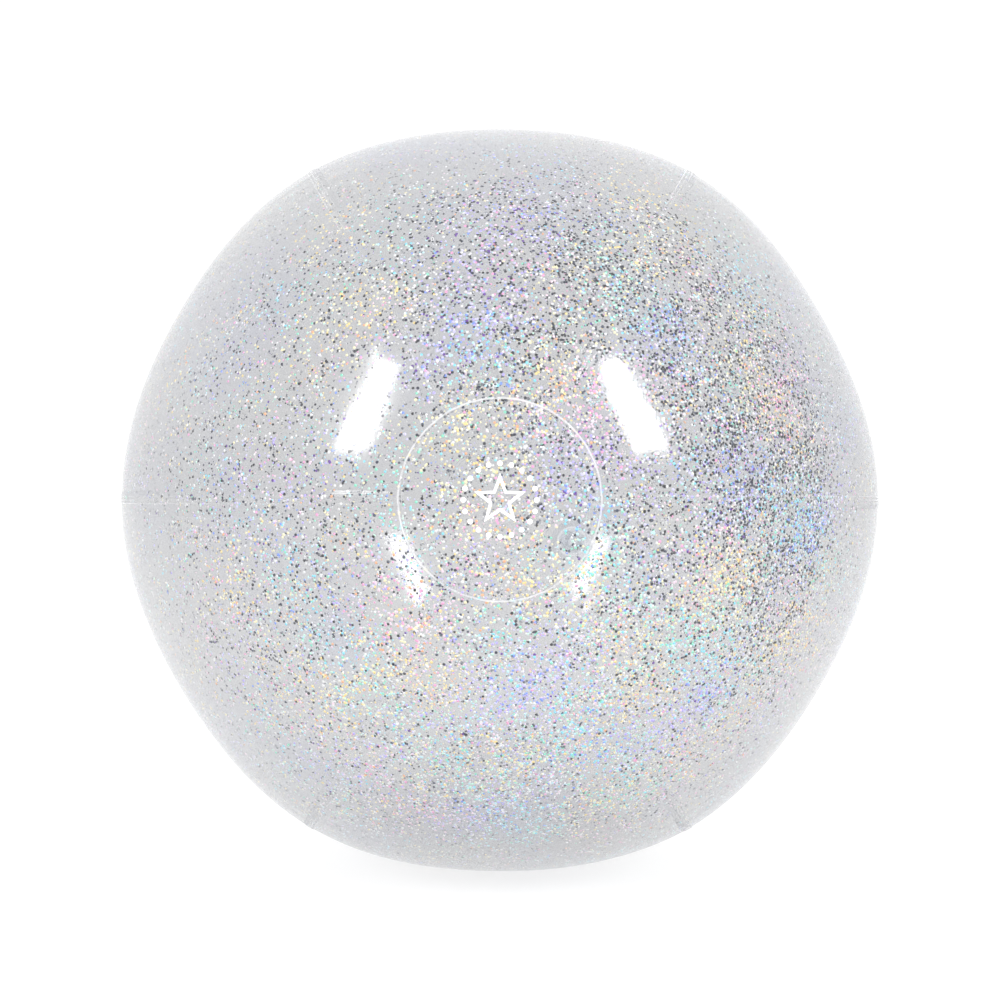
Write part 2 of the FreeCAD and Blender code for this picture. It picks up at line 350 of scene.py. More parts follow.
def box_mesh(x0, x1, y0, y1, z0, z1, bevel=0.0, segments=3):
    """A block with rounded edges, in the valve's frame."""
    bm = bmesh.new()
    vs = [bm.verts.new(p) for p in [(x, y, z) for x in (x0, x1) for y in (y0, y1) for z in (z0, z1)]]
    for f in ((0, 1, 3, 2), (4, 6, 7, 5), (0, 4, 5, 1), (2, 3, 7, 6), (0, 2, 6, 4), (1, 5, 7, 3)):
        bm.faces.new([vs[k] for k in f])
    bmesh.ops.recalc_face_normals(bm, faces=bm.faces)
    if bevel:
        bmesh.ops.bevel(bm, geom=list(bm.edges), offset=bevel, segments=segments, profile=0.5, affect="EDGES")
    mesh = bpy.data.meshes.new("block")
    bm.to_mesh(mesh)
    bm.free()
    return mesh


# ---- materials -----------------------------------------------------------------
def link(nt, a, b):
    nt.links.new(a, b)


def node(nt, kind, **values):
    n = nt.nodes.new(kind)
    for k, v in values.items():
        if k.startswith("in_"):
            n.inputs[k[3:].replace("_", " ")].default_value = v
        else:
            setattr(n, k, v)
    return n


def math_node(nt, op, a, b=None, c=None, clamp=False):
    n = nt.nodes.new("ShaderNodeMath")
    n.operation, n.use_clamp = op, clamp
    for k, v in enumerate((a, b, c)):
        if v is None:
            continue
        if isinstance(v, (int, float)):
            n.inputs[k].default_value = v
        else:
            link(nt, v, n.inputs[k])
    return n.outputs[0]


def attribute(nt, name):
    return node(nt, "ShaderNodeAttribute", attribute_name=name, attribute_type="GEOMETRY").outputs["Fac"]


def noise(nt, scale, detail=3.0, rough=0.5, vector=None):
    n = node(nt, "ShaderNodeTexNoise", in_Scale=scale, in_Detail=detail, in_Roughness=rough)
    if vector is not None:
        link(nt, vector, n.inputs["Vector"])
    return n.outputs["Fac"]


def band(nt, x, centre, half, soft):
    """1 within half of centre, falling to 0 over soft."""
    d = math_node(nt, "ABSOLUTE", math_node(nt, "SUBTRACT", x, centre))
    n = nt.nodes.new("ShaderNodeMapRange")
    n.interpolation_type = "SMOOTHSTEP"
    link(nt, d, n.inputs["Value"])
    n.inputs["From Min"].default_value = half
    n.inputs["From Max"].default_value = half + soft
    n.inputs["To Min"].default_value = 1.0
    n.inputs["To Max"].default_value = 0.0
    return n.outputs["Result"]


TINT = (0.864, 0.865, 0.869)
HAZE_COLOUR = (0.84, 0.845, 0.855)


def film_material(name, haze=0.030, tint=TINT, welds=True, milk=HAZE_COLOUR, rough=0.125, bump=0.10):
    """Clear film: it mirrors more towards grazing angles, and its faint milkiness shows more the longer the way through it. Welds and cut edges are whiter."""
    mat = bpy.data.materials.new(name)
    mat.use_nodes = True
    nt = mat.node_tree
    nt.nodes.clear()
    out = node(nt, "ShaderNodeOutputMaterial")
    place = node(nt, "ShaderNodeTexCoord").outputs["Object"]

    # fine surface: calender streaks and a little orange peel
    peel = noise(nt, 900.0, 3.0, 0.55, place)
    slow = noise(nt, 70.0, 2.0, 0.5, place)
    height = math_node(nt, "MULTIPLY_ADD", slow, 0.6, math_node(nt, "MULTIPLY", peel, 0.35))
    bumped = node(nt, "ShaderNodeBump", in_Strength=bump, in_Distance=0.00006)
    link(nt, height, bumped.inputs["Height"])

    facing = node(nt, "ShaderNodeLayerWeight").outputs["Facing"]
    fresnel = math_node(nt, "MULTIPLY_ADD", math_node(nt, "POWER", facing, 5.0), 0.42, 0.028)
    slant = math_node(nt, "MAXIMUM", math_node(nt, "SUBTRACT", 1.0, facing), 0.06)

    # milkiness, patchy at a few sizes
    cloud = noise(nt, 28.0, 4.0, 0.55, place)
    fine = noise(nt, 420.0, 2.0, 0.5, place)
    dens = math_node(nt, "MULTIPLY_ADD", cloud, 0.9, math_node(nt, "MULTIPLY_ADD", fine, 0.5, 0.30))
    dens = math_node(nt, "MULTIPLY", dens, haze)
    fused, line = None, None
    if welds:
        lap, along = attribute(nt, "lap_mm"), attribute(nt, "along_mm")
        ring, upper = attribute(nt, "ring_mm"), attribute(nt, "upper")
        # two films melted into one: no faces and no extra thickness between them
        fused = math_node(nt, "MAXIMUM", band(nt, lap, 0.0, 1.55, 0.1), band(nt, ring, 34.4, 1.0, 0.2))
        thin = math_node(nt, "MULTIPLY_ADD", fused, -0.5, 1.0)
        stepped = math_node(nt, "MAXIMUM", fused, band(nt, lap, -2.7, 1.0, 0.3))
        fresnel = math_node(nt, "MULTIPLY", fresnel, math_node(nt, "MULTIPLY_ADD", stepped, -0.75, 1.0))
        dens = math_node(nt, "MULTIPLY", dens, thin)
        # what does show: a fine bead where the welding bar ended, faint ribs, and the cut edges
        ribs = math_node(nt, "SINE", math_node(nt, "MULTIPLY", along, TAU / 1.25))
        ribs = math_node(nt, "MULTIPLY_ADD", ribs, 0.4, 0.6)
        worn = math_node(nt, "MULTIPLY_ADD", noise(nt, 55.0, 3.0, 0.6, place), 1.8, -0.25, clamp=True)
        bead = math_node(nt, "MULTIPLY", band(nt, lap, 1.45, 0.16, 0.22), upper)
        centre = band(nt, lap, 0.0, 0.10, 0.25)
        low = band(nt, lap, -1.45, 0.08, 0.15)
        line = math_node(nt, "MULTIPLY", bead, 0.11)
        line = math_node(nt, "MULTIPLY_ADD", low, 0.05, line)
        line = math_node(nt, "MULTIPLY_ADD", centre, 0.05, line)
        line = math_node(nt, "MULTIPLY_ADD", math_node(nt, "MULTIPLY", band(nt, lap, 0.0, 1.3, 0.2), ribs), 0.012, line)
        rings = math_node(nt, "MULTIPLY_ADD", band(nt, ring, 33.75, 0.10, 0.20), 0.25, band(nt, ring, 35.1, 0.20, 0.25))
        line = math_node(nt, "MULTIPLY_ADD", rings, 0.55, line)
        line = math_node(nt, "MULTIPLY", line, worn)
        dens = math_node(nt, "ADD", dens, line)
    way = math_node(nt, "DIVIDE", dens, slant)
    hazed = math_node(nt, "SUBTRACT", 1.0, math_node(nt, "POWER", 2.71828, math_node(nt, "MULTIPLY", way, -1.0)), clamp=True)

    clear = node(nt, "ShaderNodeBsdfTransparent", in_Color=(*tint, 1))
    if fused is not None:
        # painted reflection: broad patches of faint lavender in the film's tint stand for the glitter's coloured light
        # mirrored in the film
        patch = node(nt, "ShaderNodeMix", data_type="RGBA")
        patch.inputs["A"].default_value = (*tint, 1)
        patch.inputs["B"].default_value = (tint[0] - 0.016, tint[1] - 0.014, tint[2] + 0.004, 1)
        painted_reflection_patches = math_node(nt, "MULTIPLY_ADD", noise(nt, 13.0, 2.0, 0.5, place), 5.0, -2.45, clamp=True)
        link(nt, painted_reflection_patches, patch.inputs["Factor"])
        shade = node(nt, "ShaderNodeMix", data_type="RGBA")
        link(nt, patch.outputs["Result"], shade.inputs["A"])
        shade.inputs["B"].default_value = (*[1 - (1 - c) / 2 for c in tint], 1)
        link(nt, fused, shade.inputs["Factor"])
        link(nt, shade.outputs["Result"], clear.inputs["Color"])
    gloss = node(nt, "ShaderNodeBsdfGlossy", in_Color=(1, 1, 1, 1), in_Roughness=rough)
    link(nt, bumped.outputs["Normal"], gloss.inputs["Normal"])
    white = node(nt, "ShaderNodeBsdfDiffuse", in_Color=(*milk, 1), in_Roughness=0.4)
    through = node(nt, "ShaderNodeBsdfTranslucent", in_Color=(*milk, 1))
    if line is not None:
        chalk = node(nt, "ShaderNodeMix", data_type="RGBA")
        chalk.inputs["A"].default_value = (*milk, 1)
        chalk.inputs["B"].default_value = (0.93, 0.93, 0.94, 1)
        link(nt, math_node(nt, "MULTIPLY", line, 14.0, clamp=True), chalk.inputs["Factor"])
        link(nt, chalk.outputs["Result"], white.inputs["Color"])
        link(nt, chalk.outputs["Result"], through.inputs["Color"])
    soft = node(nt, "ShaderNodeMixShader", in_Fac=0.5)
    link(nt, white.outputs[0], soft.inputs[1])
    link(nt, through.outputs[0], soft.inputs[2])
    body = node(nt, "ShaderNodeMixShader")
    link(nt, hazed, body.inputs[0])
    link(nt, clear.outputs[0], body.inputs[1])
    link(nt, soft.outputs[0], body.inputs[2])
    top = node(nt, "ShaderNodeMixShader")
    link(nt, fresnel, top.inputs[0])
    link(nt, body.outputs[0], top.inputs[1])
    link(nt, gloss.outputs[0], top.inputs[2])
    link(nt, top.outputs[0], out.inputs["Surface"])
    return mat


def pvc_material(name, haze=0.055, milk=(0.90, 0.91, 0.92)):
    """Soft clear moulding, a little cloudier than the film."""
    return film_material(name, haze=haze, tint=(0.93, 0.94, 0.95), welds=False, milk=milk, rough=0.14, bump=0.5)


def ink_material():
    mat = bpy.data.materials.new("white_ink")
    mat.use_nodes = True
    nt = mat.node_tree
    bsdf = nt.nodes["Principled BSDF"]
    place = node(nt, "ShaderNodeTexCoord").outputs["Object"]
    grain = noise(nt, 1500.0, 3.0, 0.6, place)
    ramp = node(nt, "ShaderNodeMapRange")
    link(nt, grain, ramp.inputs["Value"])
    ramp.inputs["From Min"].default_value, ramp.inputs["From Max"].default_value = 0.3, 0.7
    ramp.inputs["To Min"].default_value, ramp.inputs["To Max"].default_value = 0.86, 0.95
    mix = node(nt, "ShaderNodeCombineColor")
    for k in range(3):
        link(nt, ramp.outputs["Result"], mix.inputs[k])
    link(nt, mix.outputs[0], bsdf.inputs["Base Color"])
    bsdf.inputs["Roughness"].default_value = 0.45
    bump = node(nt, "ShaderNodeBump", in_Strength=0.3, in_Distance=0.00004)
    link(nt, grain, bump.inputs["Height"])
    link(nt, bump.outputs["Normal"], bsdf.inputs["Normal"])
    return mat


def flake_material(name, colour, metallic, rough, sheen=0.0, painted_glint=0.0):
    """A foil flake. Its emission in its own colour is a painted glint, standing for the flashes of light that its
    embossed face throws back.
    """
    mat = bpy.data.materials.new(name)
    mat.use_nodes = True
    b = mat.node_tree.nodes["Principled BSDF"]
    b.inputs["Base Color"].default_value = (*colour, 1)
    b.inputs["Metallic"].default_value = metallic
    b.inputs["Roughness"].default_value = rough
    b.inputs["Coat Weight"].default_value = sheen
    # painted glint: the flake glows in its own colour
    if painted_glint:
        b.inputs["Emission Color"].default_value = (*colour, 1)
        b.inputs["Emission Strength"].default_value = painted_glint
    return mat


clear_film = film_material("clear_film")
cap_film = film_material("cap_film", haze=0.034)
valve_pvc = pvc_material("valve_pvc")
plug_pvc = pvc_material("plug_pvc", haze=0.075)
white_ink = ink_material()

# ---- the film --------------------------------------------------------------------
for i in range(GORES):
    mesh = gore_mesh(i)
    if i == 5:
        ob = loose(mesh)
        hole = lathe("hole", [(0, -12), (9.5, -12), (9.5, 12), (0, 12)], n=128)
        hole.transform(VALVE)
        outward(hole)
        boolean(ob, loose(hole), "DIFFERENCE")
        mesh = ob.data.copy()
        bpy.data.objects.remove(ob)
        mesh.name = "film_gore_6"
    ob = finish_mesh("film_gore_%d" % (i + 1), mesh, [clear_film])
    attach(ob, "envelope")
    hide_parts("gore_%d" % (i + 1))


def cap_mesh(name, rear):
    """A round disc of film that follows the inside of the gore ends."""
    th_edge = math.asin(CAP_R / (R * (1 - POLE_SHARE)))
    n, rings = 216, 56
    th = np.linspace(0, th_edge, rings + 1)[1:]
    th = np.concatenate([th, [th_edge + 0.12 / R]])
    ph = np.arange(n) * TAU / n
    T, P = np.meshgrid(th, ph, indexing="ij")
    TT = math.pi - T if rear else T
    low = np.full_like(P, math.pi / GORES)

    def face(depth, edge):
        rad = radius(T, low) - depth - edge + swell(TT, P)
        return unit(TT, P) * rad[..., None]

    edge = np.zeros_like(T)
    edge[-1, :] = 0.06
    up = FILM + WELD_GAP
    outer, inner = face(up, edge), face(up + FILM, -edge)
    pole = np.array([[0.0]])
    top = unit(pole * 0 + (math.pi if rear else 0.0), pole)[0, 0]
    r0 = float(radius(np.array(0.0), np.array(math.pi / GORES)))
    s0 = float(swell(np.array([[math.pi if rear else 0.0]]), pole)[0, 0])
    verts = np.concatenate(
        [
            outer.reshape(-1, 3),
            inner.reshape(-1, 3),
            [top * (r0 - up + s0)],
            [top * (r0 - up - FILM + s0)],
        ]
    )
    m = len(th)
    idx = np.arange(m * n).reshape(m, n)
    inn = idx + m * n
    nxt = np.roll(idx, -1, 1)
    nin = np.roll(inn, -1, 1)
    q = [
        np.stack([idx[:-1], nxt[:-1], nxt[1:], idx[1:]], -1).reshape(-1, 4),
        np.stack([inn[:-1], inn[1:], nin[1:], nin[:-1]], -1).reshape(-1, 4),
        np.stack([idx[-1], nxt[-1], nin[-1], inn[-1]], -1).reshape(-1, 4),
    ]
    a, b = 2 * m * n, 2 * m * n + 1
    tris = [(a, nxt[0, k], idx[0, k]) for k in range(n)] + [(b, inn[0, k], nin[0, k]) for k in range(n)]
    mesh = quads_mesh(name, verts, np.concatenate(q), tris)
    outward(mesh)
    ring = R * (1 - POLE_SHARE) * np.sin(T).ravel()
    both = lambda v, c: np.concatenate([v.ravel(), v.ravel(), [c, c]])
    add_float(mesh, "lap_mm", np.full(len(verts), 99.0))
    add_float(mesh, "upper", np.zeros(len(verts)))
    add_float(mesh, "along_mm", both(P * 34.5, 0.0))
    add_float(mesh, "ring_mm", np.concatenate([ring, ring, [0, 0]]))
    add_float(mesh, "around", both(P, 0.0))
    return mesh


for name, rear in (("front_cap", False), ("rear_cap", True)):
    ob = finish_mesh("film_" + name, cap_mesh("film_" + name, rear), [cap_film])
    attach(ob, "envelope")
    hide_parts(name)


# ---- print on the front cap: a plain star in a ring of dots --------------------
def on_front(x, z, height):
    """A point standing height above the front cap's outer face, over (x, z)."""
    rho = np.hypot(x, z)
    ph = np.arctan2(z, x)
    th = np.arcsin(np.clip(rho / (R * (1 - POLE_SHARE)), 0, 1))
    for _ in range(3):
        rad = radius(th, np.full_like(th, math.pi / GORES)) - FILM - WELD_GAP + swell(th, ph) + height
        th = np.arcsin(np.clip(rho / rad, 0, 1))
    return unit(th, ph) * rad[..., None]


def print_mesh():
    verts, faces = [], []

    def patch(rings):
        """Ink laid as a stack of rings of the same length, from the middle out."""
        n = len(rings[0])
        for height in (0.035, -0.02):
            base = len(verts)
            pts = np.array(rings).reshape(-1, 2)
            h = np.full(len(pts), height)
            if height > 0:
                h[-n:] = 0.01
            verts.extend(on_front(pts[:, 0], pts[:, 1], h).tolist())
            for r in range(len(rings) - 1):
                for k in range(n):
                    m = (k + 1) % n
                    a, b = base + r * n + k, base + r * n + m
                    f = (a, b, b + n, a + n)
                    faces.append(f if height > 0 else f[::-1])
            faces.append(tuple(range(base, base + n)) if height > 0 else tuple(range(base + n - 1, base - 1, -1)))
        top, low = base - len(rings) * n, base
        last = (len(rings) - 1) * n
        for k in range(n):
            m = (k + 1) % n
            faces.append((top + last + k, top + last + m, low + last + m, low + last + k))

    star = []
    per = 8
    for k in range(10):
        r0, r1 = (9.3, 3.9) if k % 2 == 0 else (3.9, 9.3)
        a0, a1 = math.pi / 2 + k * math.pi / 5, math.pi / 2 + (k + 1) * math.pi / 5
        p0 = np.array([r0 * math.cos(a0), r0 * math.sin(a0)])
        p1 = np.array([r1 * math.cos(a1), r1 * math.sin(a1)])
        for s in range(per):
            star.append(p0 + (p1 - p0) * s / per)
    star = np.array(star)
    # five arms drawn as an outline, with the middle left clear
    inner, outer = star * 0.70, star
    levels = [inner + (outer - inner) * t for t in np.linspace(0, 1, 5)]
    band_of(levels, verts, faces)
    for k in range(20):
        a = TAU * k / 20
        c = np.array([12.6 * math.cos(a), 12.6 * math.sin(a)])
        ring = lambda r: [c + r * np.array([math.cos(TAU * j / 14), math.sin(TAU * j / 14)]) for j in range(14)]
        patch([ring(r) for r in (0.3, 0.62, 0.82, 0.92)])
    mesh = bpy.data.meshes.new("cap_print")
    mesh.from_pydata((np.array(verts) * MM).tolist(), [], faces)
    outward(mesh)
    return mesh


def band_of(levels, verts, faces):
    """A closed loop of ink between an inner and an outer outline."""
    n, m = len(levels[0]), len(levels)
    base = len(verts)
    for height in (0.035, -0.02):
        for j, ring in enumerate(levels):
            h = 0.012 if height > 0 and j in (0, m - 1) else height
            pts = np.array(ring)
            verts.extend(on_front(pts[:, 0], pts[:, 1], np.full(n, h)).tolist())
    top, low = base, base + n * m
    for j in range(m - 1):
        for k in range(n):
            q = (k + 1) % n
            faces.append((top + j * n + k, top + j * n + q, top + (j + 1) * n + q, top + (j + 1) * n + k))
            faces.append((low + j * n + k, low + (j + 1) * n + k, low + (j + 1) * n + q, low + j * n + q))
    for j in (0, m - 1):
        for k in range(n):
            q = (k + 1) % n
            faces.append((top + j * n + k, top + j * n + q, low + j * n + q, low + j * n + k))


ob = finish_mesh("cap_print", print_mesh(), [white_ink])
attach(ob, "envelope")


# ---- valve -------------------------------------------------------------------------
ST = 3.6  # height of the stem's mouth above the film


def flange_top(r):
    return -(FILM + 0.12) - r * r / (2 * (R - 4))


def place(mesh, name, mat, body, node_name, slot, sharp=40):
    mesh.transform(VALVE)
    outward(mesh)
    ob = finish_mesh(name, mesh, [mat], sharp)
    if body is not None:
        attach(ob, body)
    if node_name:
        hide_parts(node_name)
    return ob


def flange_outline():
    top = [(r, flange_top(r)) for r in np.linspace(13.0, 9.2, 16)]
    low = [(r, flange_top(r) - 0.8) for r in np.linspace(8.2, 13.0, 14)]
    return top + [(9.2, 0.9), (8.2, 0.9)] + low


def flange_ribs(r, z, a):
    """Weld ribs on the flange's upper face."""
    if 9.6 < r < 12.8 and z > flange_top(r) - 0.2 and z < 0:
        z += 0.045 * math.cos(72 * a) * math.sin(math.pi * (r - 9.6) / 3.2)
    return r, z


place(
    lathe("valve_flange_soft", flange_outline(), n=288, bevel=0.16, bumps=flange_ribs),
    "valve_flange_soft", valve_pvc, "envelope", "valve_flange", "valve_pvc",
)

# the rolling wall, which turns inside out as the stem is pulled, built here in one fixed shape
n_fold = 14
side = [(8.1 + (5.85 - 8.1) * t - 0.10 * math.sin(math.pi * t), -1.05 + (-6.85 + 1.05) * t) for t in np.linspace(0, 1, n_fold)]
back = [(5.3 + (7.6 - 5.3) * t - 0.10 * math.sin(math.pi * t), -6.25 + (-0.5 + 6.25) * t) for t in np.linspace(0, 1, n_fold)]
fold = lathe("valve_fold_soft", side + [(5.3, -6.88)] + back + [(8.1, -0.5)], n=96, bevel=0.08)
ob = place(fold, "valve_fold_soft", valve_pvc, None, "valve_fold", "valve_pvc", sharp=60)
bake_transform(ob)

stem = lathe(
    "valve_stem_soft",
    [(4.0, ST), (7.2, ST), (7.2, ST - 0.8), (5.2, ST - 0.8), (5.2, -4.0), (5.2, -9.0), (5.2, -12.0), (3.8, -12.0), (3.8, -6.0), (3.8, 0.1), (4.0, 0.1)],
    n=96, bevel=0.28,
)
stem_ob = loose(stem)
tab = loose(box_mesh(6.2, 11.1, -2.2, 2.2, ST - 0.8, ST, bevel=0.22))
boolean(stem_ob, tab, "UNION")
stem = stem_ob.data.copy()
bpy.data.objects.remove(stem_ob)
place(stem, "valve_stem_soft", valve_pvc, "stem", "valve_stem", "valve_pvc", sharp=35)

flap = lathe(
    "check_flap_soft",
    [(0, -12.05), (2.0, -12.05), (4.0, -12.05), (4.9, -12.05), (4.9, -12.45), (4.0, -12.45), (2.2, -12.45), (0, -12.45)],
    n=72, bevel=0.12,
)
place(flap, "check_flap_soft", valve_pvc, "flap", "check_flap", "valve_pvc")

# strap: an eyelet round the plug's neck and a band out to the bending root
z0, z1 = ST + 0.05, ST + 0.75
eyelet = loose(lathe("eyelet", [(3.2, z1), (5.0, z1), (5.0, z0), (3.2, z0)], n=96, bevel=0.18))
strap_band = loose(box_mesh(4.3, 11.15, -1.8, 1.8, z0, z1, bevel=0.18))
boolean(eyelet, strap_band, "UNION")
strap = eyelet.data.copy()
bpy.data.objects.remove(eyelet)
place(strap, "plug_strap_soft", plug_pvc, "plug", "plug_strap", "plug_pvc", sharp=35)


def root_mesh():
    """The strap's bending root: a half turn of flat strip from the tab's end up to the band's end."""
    cx, cz = 11.12, ST
    ang = np.radians(np.linspace(-80, 84, 22))
    ys = [-1.8, -1.72, -1.5, -0.8, 0.0, 0.8, 1.5, 1.72, 1.8]
    verts = []
    for a in ang:
        thin = 1 - 0.18 * math.cos(a) ** 2
        for j, y in enumerate(ys):
            e = 0.10 if j in (0, len(ys) - 1) else (0.03 if j in (1, len(ys) - 2) else 0.0)
            ro = 0.74 * thin - e
            verts.append((cx + ro * math.cos(a), y, cz + ro * math.sin(a)))
        for j, y in enumerate(ys):
            ri = 0.06
            verts.append((cx + ri * math.cos(a), y, cz + ri * math.sin(a)))
    m, n = len(ang), len(ys)
    faces = []
    at = lambda k, side, j: k * 2 * n + side * n + j
    for k in range(m - 1):
        for j in range(n - 1):
            faces.append((at(k, 0, j), at(k, 0, j + 1), at(k + 1, 0, j + 1), at(k + 1, 0, j)))
            faces.append((at(k, 1, j), at(k + 1, 1, j), at(k + 1, 1, j + 1), at(k, 1, j + 1)))
        faces.append((at(k, 0, 0), at(k + 1, 0, 0), at(k + 1, 1, 0), at(k, 1, 0)))
        faces.append((at(k, 0, n - 1), at(k, 1, n - 1), at(k + 1, 1, n - 1), at(k + 1, 0, n - 1)))
    for k in (0, m - 1):
        for j in range(n - 1):
            faces.append((at(k, 0, j), at(k, 1, j), at(k, 1, j + 1), at(k, 0, j + 1)))
    mesh = bpy.data.meshes.new("root")
    mesh.from_pydata(verts, [], faces)
    return mesh


ob = place(root_mesh(), "plug_strap_root", plug_pvc, None, None, "plug_pvc", sharp=50)
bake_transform(ob)

plug = lathe(
    "valve_plug_soft",
    [
        (0, 0.6), (1.6, 0.6), (2.2, 0.3), (3.0, 0.3), (3.3, 0.6), (3.7, 2.2), (3.95, ST), (3.15, ST),
        (3.15, ST + 0.8), (5.2, ST + 0.8), (5.2, ST + 1.8), (4.3, ST + 1.8), (3.9, ST + 1.6), (2.2, ST + 1.6),
        (1.8, ST + 1.8), (0, ST + 1.8),
    ],
    n=96, bevel=0.2,
)
place(plug, "valve_plug_soft", plug_pvc, "plug", "valve_plug", "plug_pvc")

# ---- glitter -----------------------------------------------------------------------
# each ink: name, colour, metallic, roughness, coat, and a painted glint (emission in the flake's own colour). The
# black, navy, charcoal and slate inks are painted dark reflection: flakes that mirror dim surroundings.
INKS = [
    ("flake_black", (0.006, 0.007, 0.012), 0.20, 0.40, 0.0, 0.0),
    ("flake_navy", (0.012, 0.018, 0.060), 0.30, 0.36, 0.0, 0.0),
    ("flake_charcoal", (0.035, 0.038, 0.052), 0.35, 0.36, 0.1, 0.0),
    ("flake_slate", (0.110, 0.135, 0.200), 0.50, 0.32, 0.2, 0.0),
    ("flake_grey", (0.260, 0.270, 0.300), 0.60, 0.30, 0.2, 0.0),
    ("flake_silver", (0.760, 0.770, 0.800), 0.90, 0.25, 0.0, 0.10),
    ("flake_white", (1.000, 1.000, 1.000), 0.10, 0.30, 0.2, 0.36),
    ("flake_cyan", (0.300, 0.840, 1.000), 0.30, 0.28, 0.2, 0.42),
    ("flake_lavender", (0.560, 0.480, 1.000), 0.30, 0.28, 0.2, 0.42),
    ("flake_pink", (1.000, 0.440, 0.720), 0.30, 0.28, 0.2, 0.42),
    ("flake_gold", (1.000, 0.790, 0.330), 0.30, 0.28, 0.2, 0.48),
    ("flake_mint", (0.320, 0.900, 0.660), 0.30, 0.28, 0.2, 0.36),
    ("flake_orange", (1.000, 0.500, 0.270), 0.30, 0.28, 0.2, 0.42),
    ("flake_violet", (0.200, 0.060, 0.480), 0.40, 0.28, 0.2, 0.10),
    ("flake_blue", (0.260, 0.400, 1.000), 0.40, 0.28, 0.2, 0.35),
    ("flake_cream", (1.000, 0.930, 0.600), 0.10, 0.30, 0.2, 0.42),
    ("flake_pale_cyan", (0.620, 0.930, 1.000), 0.20, 0.28, 0.2, 0.42),
    ("flake_pale_lavender", (0.730, 0.700, 1.000), 0.20, 0.28, 0.2, 0.42),
    ("flake_pale_pink", (1.000, 0.760, 0.880), 0.20, 0.28, 0.2, 0.42),
    ("flake_pale_mint", (0.660, 0.970, 0.820), 0.20, 0.28, 0.2, 0.40),
    ("flake_light_grey", (0.520, 0.530, 0.560), 0.60, 0.28, 0.2, 0.0),
]
flake_mats = [flake_material(*ink) for ink in INKS]
# palettes: shares of each ink. The dark palette is painted dark reflection, where flakes mirror dim surroundings; the
# pale palette is painted light, where flakes catch it.
#               blk nvy chr slt gry slv wht cyn lav pnk gld mnt org vio blu crm pcy plv ppk pmt lgr
DARK = np.array([24, 13, 18, 13, 9, 7, 16, 2, 2, 2, 2, 2, 1.5, 2.5, 2.5, 6, 2, 2, 2, 2, 6], float)
MIXED = np.array([6, 4, 7, 8, 8, 8, 20, 3, 3, 3, 4, 2.5, 2, 1.5, 2.5, 11, 4, 4, 4, 3, 9], float)
PASTEL = np.array([1, 0.6, 1.2, 2, 4, 7, 20, 7, 7, 7, 9, 5, 4, 1, 3.5, 14, 8, 8, 8, 7, 8], float)
PALE = np.array([0, 0, 1, 3, 9, 18, 22, 2, 2, 2, 2, 1.5, 0.5, 0, 0.5, 7, 6, 6, 5, 5, 28], float)
#               where each ink leans: warm, cool or purple
WARM = np.array([0, 0, 0, 0, 0, 0, 0, -1, -1, 0.7, 1.2, -0.4, 1.3, -0.6, -1, 0.9, -0.8, -0.8, 0.6, -0.3, 0], float)
COOL = np.array([0, 0.5, 0, 0.4, 0, 0, 0, 1.3, 0.1, -1, -0.9, 1.0, -1.2, 0, 1.1, -0.6, 1.0, 0.1, -0.8, 0.8, 0], float)
PURPLE = np.array([0, 0, 0, 0, 0, 0, 0, -0.5, 1.3, 0.8, -0.9, -1.0, -0.6, 1.3, 0.5, -0.8, -0.4, 1.2, 0.8, -0.8, 0], float)
DARK, MIXED, PASTEL, PALE = (p / p.sum() for p in (DARK, MIXED, PASTEL, PALE))

EYE = np.array([0.0, -577.5, 0.0])


def toward(u, v, far):
    """The direction from the ball's centre of a place on its near or far wall. u and v say where it appears from in front, across and up, as shares of the ball's apparent radius."""
    a = math.asin(R / 577.5)
    d = np.array([u * math.tan(a), 1.0, v * math.tan(a)])
    d /= np.linalg.norm(d)
    b = d @ EYE
    c = EYE @ EYE - 172.0**2
    root = math.sqrt(max(b * b - c, 0))
    p = EYE + d * (-b + (root if far else -root))
    return p / np.linalg.norm(p)


# gathered patches of glitter: (across, up, far wall, spread in degrees, amount, palette); the palette paints the flakes
# there dark where they mirror dim surroundings, pale or coloured where they catch the light
LOBES = [
    (0.70, 0.00, False, 16, 3.8, "dark"),
    (0.72, 0.20, True, 22, 2.6, "dark"),
    (0.78, -0.12, False, 14, 2.4, "dark"),
    (0.74, -0.22, True, 18, 1.2, "mixed"),
    (0.58, 0.46, False, 15, 2.2, "dark"),
    (0.26, 0.63, False, 12, 1.8, "dark"),
    (0.45, 0.60, True, 18, 0.9, "mixed"),
    (0.00, 0.68, False, 10, 1.8, "dark"),
    (-0.28, 0.62, False, 13, 0.7, "mixed"),
    (0.10, 0.40, False, 13, 2.0, "mixed"),
    (0.02, 0.36, True, 16, 1.4, "mixed"),
    (0.02, 0.02, False, 12, 2.6, "mixed"),
    (0.00, 0.08, True, 11, 1.2, "mixed"),
    (-0.55, 0.10, False, 20, 0.9, "dark"),
    (-0.62, -0.18, True, 22, 0.8, "dark"),
    (-0.48, -0.30, False, 13, 0.7, "dark"),
    (-0.55, 0.46, True, 18, 0.7, "mixed"),
    (0.05, -0.55, False, 24, 3.0, "pastel"),
    (0.30, -0.50, True, 22, 2.2, "pastel"),
    (-0.25, -0.52, True, 20, 1.3, "pastel"),
    (0.00, -0.86, False, 22, 1.6, "pale"),
    (0.45, -0.42, False, 15, 1.2, "pastel"),
]
BARE = [(-0.33, -0.02, False, 9, 0.6), (0.34, -0.02, False, 8, 0.45), (-0.02, 0.56, True, 12, 0.2)]


